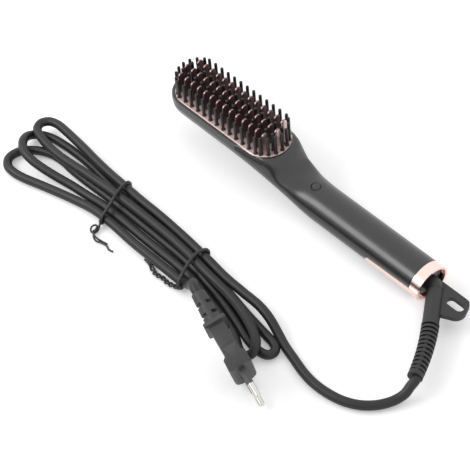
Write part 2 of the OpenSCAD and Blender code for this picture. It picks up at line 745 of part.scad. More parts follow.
// Thickness of the plug along its length, seen from its narrow edge.
module plug_edge() {
  thick = plug_t / 2;
  side = [[0, thick - 1], [-1, thick], [-block_len, thick], [-block_len - 1.5, thick - waist_dip],
    [4 - plug_len, thick - waist_dip], [2.8 - plug_len, thick], [0.8 - plug_len, thick],
    [-plug_len, thick - 0.8]];
  polygon(concat(side, [for (k = [len(side) - 1 : -1 : 0]) [side[k][0], -side[k][1]]]));
}

module plug_body() {
  color(black) in_plug() difference() {
    union() {
      intersection() {
        rotate([90, 0, 0]) linear_extrude(plug_t + 2, center = true) plug_profile();
        linear_extrude(plug_w + 2, center = true) plug_edge();
      }
      along_plug(boot_rear_r, boot_front_r, -plug_len - boot_len, 0.5 - plug_len);
    }
    for (x = [6, 13], s = [-1, 1]) translate([-plug_len - x - 1.1, s * 4.2 - 2.6, 1.1 - 2 * boot_front_r])
      cube([2.2, 5.2, 4 * boot_front_r - 2.2]);
    for (s = [-1, 1]) translate([0, 0, s * pin_spacing / 2]) along_plug(pin_core, pin_core, -8, overcut);
  }
}

module plug_pins() {
  color(steel) in_plug() for (s = [-1, 1]) translate([0, 0, s * pin_spacing / 2]) union() {
    along_plug(pin_core - 0.05, pin_core - 0.05, -8, sleeve_len + 0.5);
    along_plug(pin_d / 2, pin_d / 2, sleeve_len, pin_len - 1);
    along_plug(pin_d / 2, pin_d / 2 - 0.9, pin_len - 1, pin_len);
  }
}

module pin_sleeves() {
  color([0.5, 0.5, 0.52]) in_plug() for (s = [-1, 1]) translate([0, 0, s * pin_spacing / 2]) difference() {
    along_plug(pin_d / 2, pin_d / 2, 0, sleeve_len);
    along_plug(pin_core, pin_core, -overcut, sleeve_len + overcut);
  }
}

upper_shell();
lower_shell();
heating_plate();
comb_fins();
bristles();
heater_film();
heater_elements();
heater_clamp();
heater_tray();
plate_screws();
thermal_fuse();
temperature_sensor();
power_button();
switch_plunger();
tact_switch();
indicator_lenses();
indicator_leds();
circuit_board();
power_capacitor();
power_triac();
shell_screws();
heater_leads();
power_leads();
end_collar();
end_cap();
swivel_retainer();
strain_relief();
cord_lead();
cord_hank();
cord_tail();
cord_ties();
plug_body();
plug_pins();
pin_sleeves();
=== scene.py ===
import bpy
import bmesh
from math import cos, exp, pi, radians, sin
from mathutils import Euler, Matrix, Vector


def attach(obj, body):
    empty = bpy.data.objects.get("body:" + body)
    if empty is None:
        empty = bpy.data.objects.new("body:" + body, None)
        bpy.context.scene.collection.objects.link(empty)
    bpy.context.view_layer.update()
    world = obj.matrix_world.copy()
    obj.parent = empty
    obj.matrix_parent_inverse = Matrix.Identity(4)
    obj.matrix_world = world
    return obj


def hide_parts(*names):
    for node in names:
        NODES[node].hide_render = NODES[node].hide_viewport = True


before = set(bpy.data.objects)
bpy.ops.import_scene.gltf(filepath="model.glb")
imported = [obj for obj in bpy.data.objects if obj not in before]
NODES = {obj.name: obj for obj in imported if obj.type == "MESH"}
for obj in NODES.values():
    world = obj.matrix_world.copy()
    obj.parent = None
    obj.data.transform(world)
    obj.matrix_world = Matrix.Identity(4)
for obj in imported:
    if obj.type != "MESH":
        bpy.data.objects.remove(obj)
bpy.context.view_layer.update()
MM = 0.001

# The middle of the comb's head along the handle, and the height of the plate's face, in metres.
HEAD_X = -0.06075
PLATE_TOP = 0.0325

# ---------------------------------------------------------------- camera
IMAGE_PX = 470
FOCAL_PX = 1668.6
SENSOR_MM = 36
AZIMUTH, ELEVATION, ROLL = 51.794, 49.341, -5.81
# The middle of the plate, the pixel where it shows, and its depth from the lens in metres.
PLATE_MIDDLE = (HEAD_X, 0, PLATE_TOP)
PLATE_PX = (232.825, 113.253)
PLATE_DEPTH = 1.04686


def camera_at_the_table():
    """A long lens that looks down on the comb from beyond its cord end."""
    turn, lift, roll = radians(AZIMUTH), radians(ELEVATION), radians(ROLL)
    back = Vector((sin(turn) * cos(lift), -cos(turn) * cos(lift), sin(lift)))
    right = Vector((cos(turn), sin(turn), 0))
    up = back.cross(right)
    level = Matrix((right, up, back)).transposed()
    rolled = level @ Matrix.Rotation(roll, 3, "Z")
    across_px, down_px = PLATE_PX[0] - IMAGE_PX / 2, PLATE_PX[1] - IMAGE_PX / 2
    seen = Vector((across_px / FOCAL_PX * PLATE_DEPTH, -down_px / FOCAL_PX * PLATE_DEPTH, -PLATE_DEPTH))
    data = bpy.data.cameras.new("camera")
    data.sensor_width = SENSOR_MM
    data.lens = FOCAL_PX / IMAGE_PX * SENSOR_MM
    data.clip_start, data.clip_end = 0.05, 20
    camera = bpy.data.objects.new("camera", data)
    camera.matrix_world = Matrix.Translation(Vector(PLATE_MIDDLE) - rolled @ seen) @ rolled.to_4x4()
    bpy.context.scene.collection.objects.link(camera)
    bpy.context.scene.camera = camera


camera_at_the_table()

# ---------------------------------------------------------------- materials
# How strongly a grain shows in a moulding and in metal.
MOULD_BUMP = 0.5
METAL_BUMP = 0.4
# Sizes of the patterns, in millimetres: 12 clouds to 100 mm of metal, 3 grains to a millimetre of a fin and
# 26 patches to 100 mm of it, and 9 fibres to 10 mm of paper.
METAL_CLOUD_MM = 100 / 12
FIN_GRAIN_MM = 1 / 3
FIN_PATCH_MM = 100 / 26
PAPER_FIBRE_MM = 10 / 9
# Past this distance from the head's middle, in metres, an outward face ends a row and gets no painted shade.
FIN_END = 0.0372
# Painted shade on a fin's faces sets in between these two slants of its surface, keeping this share of metal
# shine.
RIM_SLANT, FACE_SLANT = 0.35, 0.75
SHADE_SHINE = 0.35


def linear(hexcode):
    """An sRGB hex colour as the linear colour that the shaders take."""
    parts = [int(hexcode[i:i + 2], 16) / 255 for i in (1, 3, 5)]
    return [c / 12.92 if c <= 0.04045 else ((c + 0.055) / 1.055) ** 2.4 for c in parts] + [1]


def add(tree, kind, inputs=None, **settings):
    """Adds one shader node, with its settings, its values and its links."""
    node = tree.nodes.new("ShaderNode" + kind)
    for key, value in settings.items():
        setattr(node, key, value)
    for key, value in (inputs or {}).items():
        if isinstance(value, bpy.types.NodeSocket):
            tree.links.new(value, node.inputs[key])
        else:
            node.inputs[key].default_value = value
    return node


def start_material(name):
    """A new material and its empty node tree."""
    material = bpy.data.materials.new(name)
    material.use_nodes = True
    tree = material.node_tree
    tree.nodes.clear()
    return material, tree


def moulded(name, dark, light, rough, grain_mm, depth_mm, ior=1.5, spread=0.08, mottle_mm=9):
    """A moulded plastic or rubber: a fine grain from the mould, and soft clouds in its colour and gloss."""
    material, tree = start_material(name)
    place = add(tree, "TexCoord").outputs["Object"]
    clouds = add(tree, "TexNoise", {"Vector": place, "Scale": 1000 / mottle_mm, "Detail": 3,
                                    "Roughness": 0.6})
    grain = add(tree, "TexNoise", {"Vector": place, "Scale": 1000 / grain_mm, "Detail": 2, "Roughness": 0.5})
    colour = add(tree, "Mix", {"Factor": clouds.outputs["Fac"], "A": linear(dark), "B": linear(light)},
                 data_type="RGBA")
    gloss = add(tree, "MapRange", {"Value": clouds.outputs["Fac"], "To Min": rough - spread,
                                   "To Max": rough + spread})
    bump = add(tree, "Bump", {"Height": grain.outputs["Fac"], "Strength": MOULD_BUMP,
                              "Distance": depth_mm * MM})
    shader = add(tree, "BsdfPrincipled", {"Base Color": colour.outputs["Result"],
                                          "Roughness": gloss.outputs["Result"],
                                          "Normal": bump.outputs["Normal"], "IOR": ior})
    add(tree, "OutputMaterial", {"Surface": shader.outputs["BSDF"]})
    return material


def metal(name, dark, light, rough, grain_mm, depth_mm, spread=0.05, metallic=1.0):
    """A metal, plated or lacquered finish: the grain that its making leaves, and slight changes of gloss."""
    material, tree = start_material(name)
    place = add(tree, "TexCoord").outputs["Object"]
    grain = add(tree, "TexNoise", {"Vector": place, "Scale": 1000 / grain_mm, "Detail": 3})
    clouds = add(tree, "TexNoise", {"Vector": place, "Scale": 1000 / METAL_CLOUD_MM, "Detail": 2})
    colour = add(tree, "Mix", {"Factor": clouds.outputs["Fac"], "A": linear(dark), "B": linear(light)},
                 data_type="RGBA")
    gloss = add(tree, "MapRange", {"Value": grain.outputs["Fac"], "To Min": rough - spread,
                                   "To Max": rough + spread})
    bump = add(tree, "Bump", {"Height": grain.outputs["Fac"], "Strength": METAL_BUMP,
                              "Distance": depth_mm * MM})
    shader = add(tree, "BsdfPrincipled", {"Base Color": colour.outputs["Result"],
                                          "Roughness": gloss.outputs["Result"],
                                          "Normal": bump.outputs["Normal"], "Metallic": metallic})
    add(tree, "OutputMaterial", {"Surface": shader.outputs["BSDF"]})
    return material


def fin_casting(name, rim, face, open_end, rough, spread=0.06, depth_mm=0.01):
    """The fins' casting: rose lacquer on the rims and at the outward ends of the rows, and painted shade,
    dark and less metallic, on the broad faces between the rows, where fins and bristles shade each other."""
    material, tree = start_material(name)
    coord = add(tree, "TexCoord")
    place = add(tree, "SeparateXYZ", {"Vector": coord.outputs["Object"]})
    facing = add(tree, "SeparateXYZ", {"Vector": coord.outputs["Normal"]})
    # Mask of painted shade: the broad faces of the fins, but not the outward ends of the rows.
    across = add(tree, "Math", {0: facing.outputs["X"]}, operation="ABSOLUTE")
    broad = add(tree, "MapRange", {"Value": across.outputs[0], "From Min": RIM_SLANT, "From Max": FACE_SLANT})
    along = add(tree, "Math", {0: place.outputs["X"], 1: HEAD_X}, operation="SUBTRACT")
    outward = add(tree, "Math", {0: along.outputs[0], 1: facing.outputs["X"]}, operation="MULTIPLY")
    end_face = add(tree, "Math", {0: outward.outputs[0], 1: FIN_END}, operation="GREATER_THAN")
    inner = add(tree, "Math", {0: 1.0, 1: end_face.outputs[0]}, operation="SUBTRACT")
    shade_mask = add(tree, "Math", {0: broad.outputs["Result"], 1: inner.outputs[0]}, operation="MULTIPLY")
    grain = add(tree, "TexNoise", {"Vector": coord.outputs["Object"], "Scale": 1000 / FIN_GRAIN_MM,
                                   "Detail": 2})
    patch = add(tree, "TexNoise", {"Vector": coord.outputs["Object"], "Scale": 1000 / FIN_PATCH_MM,
                                   "Detail": 3})
    lacquer = add(tree, "Mix", {"Factor": patch.outputs["Fac"], "A": linear(rim[0]), "B": linear(rim[1])},
                  data_type="RGBA")
    # Painted shade: the broad faces darken where neighbouring fins and bristles shade them.
    painted_shade = add(tree, "Mix", {"Factor": patch.outputs["Fac"], "A": linear(face[0]), "B": linear(face[1])},
                    data_type="RGBA")
    colour = add(tree, "Mix", {"Factor": shade_mask.outputs[0], "A": lacquer.outputs["Result"],
                               "B": painted_shade.outputs["Result"]}, data_type="RGBA")
    colour = add(tree, "Mix", {"Factor": end_face.outputs[0], "A": colour.outputs["Result"],
                               "B": linear(open_end)}, data_type="RGBA")
    # Under the painted shade the metal's shine drops too, dimming its reflections.
    shine = add(tree, "MapRange", {"Value": shade_mask.outputs[0], "To Min": 1.0, "To Max": SHADE_SHINE})
    gloss = add(tree, "MapRange", {"Value": grain.outputs["Fac"], "To Min": rough - spread,
                                   "To Max": rough + spread})
    bump = add(tree, "Bump", {"Height": grain.outputs["Fac"], "Strength": METAL_BUMP,
                              "Distance": depth_mm * MM})
    shader = add(tree, "BsdfPrincipled", {"Base Color": colour.outputs["Result"],
                                          "Roughness": gloss.outputs["Result"],
                                          "Metallic": shine.outputs["Result"],
                                          "Normal": bump.outputs["Normal"]})
    add(tree, "OutputMaterial", {"Surface": shader.outputs["BSDF"]})
    return material


# Each finish has its darker and its lighter colour, its roughness, and its grain's size and depth in mm.

# Injection-moulded ABS with a fine satin grain: broad soft highlights on near-black.
shell_abs = moulded("shell_abs_satin_black", "#161617", "#1b1b1c", 0.25, 0.35, 0.006, ior=1.65)
# The button is moulded from the same ABS, a little glossier from use.
button_abs = moulded("button_abs_black", "#161617", "#1b1b1c", 0.24, 0.3, 0.008, ior=1.65)
# Die-cast aluminium under a pearly rose-gold lacquer: a third of its shine is the metal's.
rose_casting = metal("casting_rose_gold_lacquer", "#e8cbc7", "#f2d7d3", 0.32, 0.25, 0.01, metallic=0.35)
# The same casting on the fins: lacquered rims, and painted shade on the broad faces between the rows.
fin_lacquer = fin_casting("fin_rose_lacquer_painted_shade", rim=("#8a7271", "#9a807f"),
                          face=("#533e42", "#634b4f"), open_end="#d6bebb", rough=0.34)
# Electroplated ABS, polished rose gold: sharp reflections of the room.
rose_plating = metal("plated_rose_gold", "#edd3ca", "#f3ddd5", 0.13, 0.6, 0.003, spread=0.03)
# Heat-proof nylon bristles, drawn smooth by the mould.
bristle_nylon = moulded("bristle_nylon_black", "#242122", "#2e2a2b", 0.34, 0.3, 0.006, ior=1.42)
# The same nylon at the feet of the bristles, tinted red-brown: a painted reflection of the rose plate.
foot_nylon_painted_reflection = moulded("bristle_foot_nylon_painted_reflection", "#24181a", "#2f2022", 0.36, 0.3, 0.006, ior=1.53)
# Extruded PVC cord sheath: dull, with a faint orange-peel skin.
sheath_pvc = moulded("cord_sheath_pvc_black", "#1c1c1d", "#242425", 0.46, 0.7, 0.03, ior=1.46, mottle_mm=14)
# Soft PVC strain relief, spark-eroded mould: a clear fine stipple.
relief_pvc = moulded("relief_pvc_black", "#1f1f20", "#282829", 0.50, 0.5, 0.045, ior=1.52)
# Plug moulded in one shot of PVC over the pins, with a leathery stipple.
plug_pvc = moulded("plug_pvc_black", "#313132", "#3b3b3c", 0.52, 0.45, 0.045, ior=1.52)
# Wire tie in a thin sleeve of glossy PVC.
tie_pvc = moulded("tie_pvc_black", "#1c1c1c", "#262626", 0.36, 0.5, 0.01)
# Nickel-plated brass pins, turned and polished.
pin_nickel = metal("pin_nickel_plate", "#cbc8c4", "#d8d5d1", 0.14, 0.3, 0.003)
# Moulded PBT sleeves that insulate the pins: grey and slightly dull.
sleeve_pbt = moulded("sleeve_pbt_grey", "#474749", "#515154", 0.40, 0.3, 0.01)
# Zinc-plated steel of the screws, clamp and retainer.
zinc_steel = metal("zinc_plated_steel", "#a9adb0", "#bcc0c3", 0.30, 0.2, 0.006)
# Glass-fibre board under green solder mask.
solder_mask = moulded("solder_mask_green", "#0f5a2c", "#157038", 0.32, 0.9, 0.02)
# Self-regulating ceramic heating elements: sintered, matt and slightly gritty.
heating_ceramic = moulded("sintered_heating_ceramic", "#5a5a5e", "#6e6e73", 0.7, 0.25, 0.04)
# Polyimide film: amber and shiny.
polyimide = moulded("polyimide_film_amber", "#b8641a", "#cf7d24", 0.22, 2.0, 0.01, ior=1.7)
# Glass-filled heat-proof resin of the tray and the fuse.
heat_resin = moulded("glass_filled_resin_cream", "#cfcbbd", "#dad6ca", 0.6, 0.3, 0.03)
# Black epoxy case of a switch or a power component.
epoxy_case = moulded("epoxy_case_black", "#1f1f21", "#29292b", 0.6, 0.2, 0.03)
# Red lacquered capacitor case and the red switch plunger.
red_case = moulded("red_lacquer_case", "#8e1f18", "#a32a21", 0.3, 0.6, 0.01)
# Silicone rubber insulation of the heater's leads: white and dull.
lead_silicone = moulded("lead_silicone_white", "#d8d6cf", "#e6e4de", 0.5, 0.6, 0.01)
# PVC insulation of the power leads: blue, a little glossier.
lead_pvc = moulded("lead_pvc_blue", "#24427c", "#2d4f91", 0.4, 0.6, 0.01)
# Smoked acrylic lens over each small lamp: unlit it reads almost as black as the shell.
lens_acrylic = moulded("lens_acrylic_smoke", "#1c1c1e", "#242427", 0.24, 0.8, 0.002, ior=1.6, spread=0.03)
# Epoxy body of each small lamp: cream and smooth.
lamp_epoxy = moulded("lamp_epoxy_cream", "#d9d6c4", "#e8e5d6", 0.3, 0.4, 0.005)

NODE_FINISH = {
    "upper_shell": shell_abs, "lower_shell": shell_abs, "heating_plate": rose_casting,
    "comb_fins": fin_lacquer, "bristles": bristle_nylon, "heater_film": polyimide,
    "heater_elements": heating_ceramic, "heater_clamp": zinc_steel, "heater_tray": heat_resin,
    "plate_screws": zinc_steel, "thermal_fuse": heat_resin, "temperature_sensor": polyimide,
    "power_button": button_abs, "switch_plunger": red_case, "tact_switch": epoxy_case,
    "indicator_lenses": lens_acrylic, "indicator_leds": lamp_epoxy, "circuit_board": solder_mask,
    "power_capacitor": red_case, "power_triac": epoxy_case, "shell_screws": zinc_steel,
    "heater_leads": lead_silicone, "power_leads": lead_pvc, "end_collar": rose_plating,
    "end_cap": shell_abs, "swivel_retainer": zinc_steel, "strain_relief": relief_pvc,
    "cord_lead": sheath_pvc, "cord_hank": sheath_pvc, "cord_tail": sheath_pvc, "cord_ties": tie_pvc,
    "plug_body": plug_pvc, "plug_pins": pin_nickel, "pin_sleeves": sleeve_pbt,
}


def wear(piece, material):
    """Gives the piece this material and no other."""
    piece.data.materials.clear()
    piece.data.materials.append(material)


for name, material in NODE_FINISH.items():
    wear(NODES[name], material)

# ---------------------------------------------------------------- mouldings and castings
# Vertices closer than the first are one, and an edge shorter than the second is none, in metres.
WELD, SLIVER = 0.000002, 0.000001
# Facets that meet at less than this are joined before an edge is rounded, in degrees.
FLAT = 0.5
# Facets that meet at less than this shade as one skin, in degrees. The shells turn more sharply.
SKIN_ANGLE, SHELL_ANGLE = 34, 58
# How far the rounding of an edge reaches, on the fins and on the button.
FIN_EDGE_MM, BUTTON_EDGE_MM = 0.12, 0.25
# Above this height, in metres, the button's wall is drawn in towards its middle by this share.
BUTTON_DRAFT_Z, BUTTON_DRAFT = 0.018, 0.12


def new_piece(name, shape, material, body):
    """Makes an object of a mesh, a bmesh or a curve, dresses it and lets it ride on its body."""
    if isinstance(shape, bmesh.types.BMesh):
        mesh = bpy.data.meshes.new(name)
        shape.to_mesh(mesh)
        shape.free()
        shape = mesh
    piece = bpy.data.objects.new(name, shape)
    bpy.context.scene.collection.objects.link(piece)
    wear(piece, material)
    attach(piece, body)
    return piece


def welded_copy(node):
    """A bmesh of the node, with its loose triangles joined."""
    work = bmesh.new()
    work.from_mesh(NODES[node].data)
    bmesh.ops.remove_doubles(work, verts=work.verts, dist=WELD)
    return work


def smoothed(node, body, angle=SKIN_ANGLE, edge_mm=0):
    """A copy of a moulded node whose curved faces shade as one skin.
    With edge_mm its sharp outer edges are also rounded, as a mould rounds them."""
    work = welded_copy(node)
    bmesh.ops.dissolve_degenerate(work, edges=work.edges, dist=SLIVER)
    if edge_mm:
        bmesh.ops.dissolve_limit(work, angle_limit=radians(FLAT), verts=work.verts, edges=work.edges)
        sharp = [e for e in work.edges if len(e.link_faces) == 2 and e.is_convex
                 and e.calc_face_angle(0) > radians(angle)]
        bmesh.ops.bevel(work, geom=sharp, offset=edge_mm * MM, segments=3, profile=0.5, affect="EDGES",
                        material=-1, clamp_overlap=True)
        bmesh.ops.triangulate(work, faces=[f for f in work.faces if len(f.verts) > 4])
    for face in work.faces:
        face.smooth = True
    for edge in work.edges:
        edge.smooth = len(edge.link_faces) == 2 and edge.calc_face_angle(0) < radians(angle)
    piece = new_piece(node + "_skin", work, NODE_FINISH[node], body)
    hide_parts(node)
    return piece


def button_with_draft():
    """The button, whose wall leans inwards, so that a narrow shadow gap shows round it in the shell."""
    skin = smoothed("power_button", "button", edge_mm=BUTTON_EDGE_MM)
    middle_x = sum(corner[0] for corner in NODES["power_button"].bound_box) / 8
    for vert in skin.data.vertices:
        if vert.co.z > BUTTON_DRAFT_Z:
            vert.co.x += (middle_x - vert.co.x) * BUTTON_DRAFT
            vert.co.y -= vert.co.y * BUTTON_DRAFT


# A bristle's foot, in millimetres: its radius below and above, its height, and its middle above the plate.
FOOT_LOW_R, FOOT_TOP_R, FOOT_HEIGHT, FOOT_MIDDLE = 1.55, 1.12, 1.1, 0.5


def bristle_middles():
    """The middle of each bristle, in the order of their places along the head."""
    work = welded_copy("bristles")
    middles, left = [], set(work.verts)
    for first in work.verts:
        if first not in left:
            continue
        left.remove(first)
        # The list grows while it is walked, until it holds the whole bristle.
        bristle = [first]
        for vert in bristle:
            for other in (edge.other_vert(vert) for edge in vert.link_edges):
                if other in left:
                    left.remove(other)
                    bristle.append(other)
        middles.append(sum((vert.co for vert in bristle), Vector()) / len(bristle))
    work.free()
    return sorted(middles, key=lambda middle: (round(middle.x, 5), round(middle.y, 5)))


def bristle_feet():
    """A low flared foot round each bristle, where it passes through the plate."""
    feet = bmesh.new()
    for middle in bristle_middles():
        place = Matrix.Translation((middle.x, middle.y, PLATE_TOP + FOOT_MIDDLE * MM))
        bmesh.ops.create_cone(feet, cap_ends=True, cap_tris=False, segments=20, radius1=FOOT_LOW_R * MM,
                              radius2=FOOT_TOP_R * MM, depth=FOOT_HEIGHT * MM, matrix=place)
    for face in feet.faces:
        face.smooth = len(face.verts) == 4
    # The feet's red-brown tint is a painted reflection of the rose plate.
    new_piece("bristle_feet", feet, foot_nylon_painted_reflection, "handle")


# ---------------------------------------------------------------- plug
# The plug's own frame: the middle of its front face, from which it reaches back along -X, and its turns.
PLUG_FACE = Vector((82.9, -124.7, 17.9)) * MM
PLUG_TURN = (radians(13), radians(16), radians(-13.9))
# Sizes of the plug, in millimetres. Its grip: half thickness as a solid and as moulded, and its reach.
GRIP_SOLID, GRIP_MOULDED, GRIP_REACH = 5.65, 4.75, 31
# Its front face: half width as a solid and as moulded.
FRONT_SOLID, FRONT_MOULDED = 13.65, 16.6
# Its ends are cut at 45 degrees where half thickness and half width add up to this.
END_CUT = 19.9
PLUG_EDGE_MM = 0.5
# A vertex this close to a solid size lies on it.
PLUG_NEAR = 0.05
# Facets that meet at more than the first are rounded, and at less than the second shade as one, in degrees.
PLUG_SHARP, PLUG_SMOOTH = 24, 28


def lies_at(value, size_mm):
    """Whether a coordinate, on either side of the plug's middle, has this size."""
    return abs(abs(value) - size_mm * MM) < PLUG_NEAR * MM


def plug_moulding():
    """The plug as its mould leaves it: the ends of its block are cut at 45 degrees down to a narrow edge,
    its grip is drawn in, and every edge is rounded."""
    work = bmesh.new()
    work.from_mesh(NODES["plug_body"].data)
    place = Matrix.Translation(PLUG_FACE) @ Euler(PLUG_TURN).to_matrix().to_4x4()
    bmesh.ops.transform(work, matrix=place.inverted(), verts=work.verts)
    bmesh.ops.remove_doubles(work, verts=work.verts, dist=WELD)
    bmesh.ops.dissolve_limit(work, angle_limit=radians(FLAT), verts=work.verts, edges=work.edges)
    for vert in work.verts:
        if lies_at(vert.co.y, GRIP_SOLID) and abs(vert.co.x) < GRIP_REACH * MM:
            vert.co.y *= GRIP_MOULDED / GRIP_SOLID
        if lies_at(vert.co.x, 0) and lies_at(vert.co.z, FRONT_SOLID):
            vert.co.z *= FRONT_MOULDED / FRONT_SOLID
    for across in (-1, 1):
        for along in (-1, 1):
            way = Vector((0, across, along)).normalized()
            cut = bmesh.ops.bisect_plane(work, geom=work.verts[:] + work.edges[:] + work.faces[:],
                                         dist=SLIVER, plane_co=way * END_CUT * MM / 2 ** 0.5, plane_no=way,
                                         clear_outer=True)
            rim = [e for e in cut["geom_cut"] if isinstance(e, bmesh.types.BMEdge)]
            bmesh.ops.edgeloop_fill(work, edges=rim)
    bmesh.ops.recalc_face_normals(work, faces=work.faces)
    sharp = [e for e in work.edges
             if len(e.link_faces) == 2 and e.calc_face_angle(0) > radians(PLUG_SHARP)]
    bmesh.ops.bevel(work, geom=sharp, offset=PLUG_EDGE_MM * MM, segments=3, profile=0.5, affect="EDGES",
                    material=-1, clamp_overlap=True)
    for face in work.faces:
        face.smooth = True
    for edge in work.edges:
        edge.smooth = edge.calc_face_angle(0) < radians(PLUG_SMOOTH)
    bmesh.ops.transform(work, matrix=place, verts=work.verts)
    piece = new_piece("plug_moulding", work, plug_pvc, "swivel")
    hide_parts("plug_body")
    return piece


# ---------------------------------------------------------------- cord
# Middle line of the cord, in millimetres: the free lead, three folded loops and the rise to the plug.
LEAD = [(149.6, -54.2, 10.5), (150.6, -58.2, 10.2), (150.5, -61, 8.8), (150.5, -65.5, 6), (149, -70, 4),
        (147, -74.5, 3.2), (143, -81, 3), (137, -87, 3), (129, -91.5, 3), (120, -94, 3), (109, -95, 3),
        (99, -94, 3), (87, -91, 3), (76, -88, 3.2)]
TOP_RUN = [(67.3, -85.2, 5), (58.5, -83, 7.8), (49, -81.6, 8.9), (34, -81.3, 8.8), (18, -80.8, 8.5),
           (1, -79.4, 8.3), (-20, -78.2, 8.3), (-45, -77.6, 8.3), (-65, -76.8, 8.3), (-82, -75.9, 8.3)]
OUTER_LOOP = [(-98, -74.9, 8.4), (-113, -73.9, 8.6), (-125, -72.7, 8.8), (-135.5, -71.9, 8.9),
              (-146, -71.2, 8.9), (-154.6, -71.2, 8.9), (-160.4, -73.4, 8.9), (-163, -78, 8.9),
              (-161, -82.6, 8.9), (-155.6, -85.4, 8.9), (-147.6, -87, 8.9), (-139.7, -87.8, 8.9),
              (-131.5, -87.9, 8.9), (-122, -87.2, 8.9), (-108.7, -85.7, 8.7), (-95, -84.6, 8.4)]
SECOND_RUN = [(-80, -84, 8.3), (-62, -83.6, 8.3), (-45, -83.6, 8.3), (-28, -83.7, 8.3), (-10, -84.6, 8.4),
              (9, -86.8, 8.7), (26, -88, 8.9), (41, -90.6, 8.9), (53.6, -94.4, 8.9)]
RIGHT_FOLD = [(62, -98, 8.8), (66.8, -101.3, 8.4), (69.3, -105.3, 6.8), (68, -109, 4.8), (64, -110, 3.4),
              (58.4, -108, 3), (51.5, -104.2, 3), (42, -101.2, 3), (29, -98.2, 3), (16, -95.5, 3)]
THIRD_RUN = [(4, -93.4, 3), (-12, -92.4, 3), (-30, -92.2, 3), (-48, -92.2, 3), (-66, -92.3, 3),
             (-82, -92.9, 3)]
MIDDLE_LOOP = [(-97, -94.3, 3), (-110, -96, 3.4), (-122, -98.6, 4.6), (-133, -101, 6.4), (-142, -102.2, 8),
               (-150.2, -101.4, 8.9), (-157.4, -97.6, 8.9), (-161.8, -91.8, 7.2), (-162.2, -86, 4.6),
               (-158.2, -81, 3), (-151, -78.2, 3), (-142.5, -76.9, 3), (-133.6, -76.2, 3), (-124, -76, 3),
               (-112, -76.4, 3), (-97, -78, 3)]
FOURTH_RUN = [(-82, -79.6, 3), (-62, -80.2, 3), (-42, -80.2, 3), (-20, -80.3, 3), (-2, -81.2, 3),
              (15, -83, 3), (30, -85.6, 3), (45, -88.2, 3), (57, -89.8, 3)]
INNER_FOLD = [(64.5, -90.8, 3), (70.6, -91.6, 3), (74.6, -93.6, 3), (76, -96.8, 3), (74.4, -99.9, 3),
              (69.8, -101.4, 3), (60.5, -100.6, 3), (46, -96.4, 3), (30, -92.2, 3), (14, -89.2, 3)]
FIFTH_RUN = [(0, -87.2, 3), (-16, -86.3, 3), (-34, -86.2, 3), (-52, -86.2, 3), (-70, -86.2, 3),
             (-86, -86.4, 3)]
INNER_LOOP = [(-100, -86.6, 3), (-112.4, -87, 3), (-121.3, -86.9, 3), (-130, -86.4, 3), (-139.7, -87.4, 3),
              (-148, -90.6, 3), (-154.4, -95.6, 3), (-158.6, -102.1, 3), (-158.4, -109.4, 3),
              (-153, -114, 3), (-145.5, -114.6, 3), (-137, -113, 3), (-126, -109.6, 3), (-111, -105.2, 3),
              (-96.4, -101.4, 3)]
LAST_RUN = [(-83, -99.2, 3), (-66, -98.4, 3), (-46, -98.3, 3), (-26, -98.4, 3), (-11, -98.8, 3)]
RISE = [(-2, -99, 4), (4.5, -99.4, 7), (9.5, -100.4, 11.5), (13.5, -101.8, 17), (17, -103.9, 22.8),
        (20.3, -106.5, 28), (23.8, -109.2, 32), (27.8, -111.1, 33.6), (31.6, -112, 33.1),
        (34.4, -112.7, 32.3)]
CORD_R, CORD_STEP = 2.95, 1.3
# Between these places along the bundle it rests on the wires under it, and elsewhere just off the table.
WIRES_FROM, WIRES_TO, WIRE_LIFT, TABLE_LIFT = -90, 10, 1, 0.1
# Between the ties the runs spread from the bundle's middle by this share, the most at SPREAD_X.
BUNDLE_Y, SPREAD, SPREAD_X, SPREAD_REACH = -87, 0.12, -40, 24


def eased(points, step):
    """A centripetal spline through the points, sampled about every step."""
    line = [Vector(p) for p in points]
    line = [2 * line[0] - line[1]] + line + [2 * line[-1] - line[-2]]
    out = []
    for a, b, c, d in zip(line, line[1:], line[2:], line[3:]):
        t1 = (b - a).length ** 0.5
        t2 = t1 + (c - b).length ** 0.5
        t3 = t2 + (d - c).length ** 0.5
        count = max(2, round((c - b).length / step))
        for k in range(count):
            t = t1 + (t2 - t1) * k / count
            ab, bc, cd = a.lerp(b, t / t1), b.lerp(c, (t - t1) / (t2 - t1)), c.lerp(d, (t - t2) / (t3 - t2))
            out.append(ab.lerp(bc, t / t2).lerp(bc.lerp(cd, (t - t1) / (t3 - t1)), (t - t1) / (t2 - t1)))
    return out + [line[-2]]


def laid(x, y, z):
    """A point of the runs as it lies in the tied bundle."""
    spread = SPREAD * (y - BUNDLE_Y) * exp(-((x - SPREAD_X) / SPREAD_REACH) ** 2)
    return x, y + spread, z + (WIRE_LIFT if WIRES_FROM < x < WIRES_TO else TABLE_LIFT)


def cord_curve(name, points, radius, material, body, resolution=6):
    """A round cord: one open spline with a round bevel and closed ends."""
    data = bpy.data.curves.new(name, "CURVE")
    data.dimensions = "3D"
    data.bevel_depth = radius * MM
    data.bevel_resolution = resolution
    data.use_fill_caps = True
    data.twist_mode = "Z_UP"
    spline = data.splines.new("POLY")
    spline.points.add(len(points) - 1)
    for point, at in zip(spline.points, points):
        point.co = (*(at * MM), 1)
    spline.use_smooth = True
    return new_piece(name, data, material, body)


bundle = (TOP_RUN + OUTER_LOOP + SECOND_RUN + RIGHT_FOLD + THIRD_RUN + MIDDLE_LOOP + FOURTH_RUN
          + INNER_FOLD + FIFTH_RUN + INNER_LOOP + LAST_RUN)
cord_line = eased(LEAD + [laid(*point) for point in bundle] + RISE, CORD_STEP)
cord = cord_curve("mains_cord", cord_line, CORD_R, sheath_pvc, "swivel")
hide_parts("cord_lead", "cord_hank", "cord_tail")

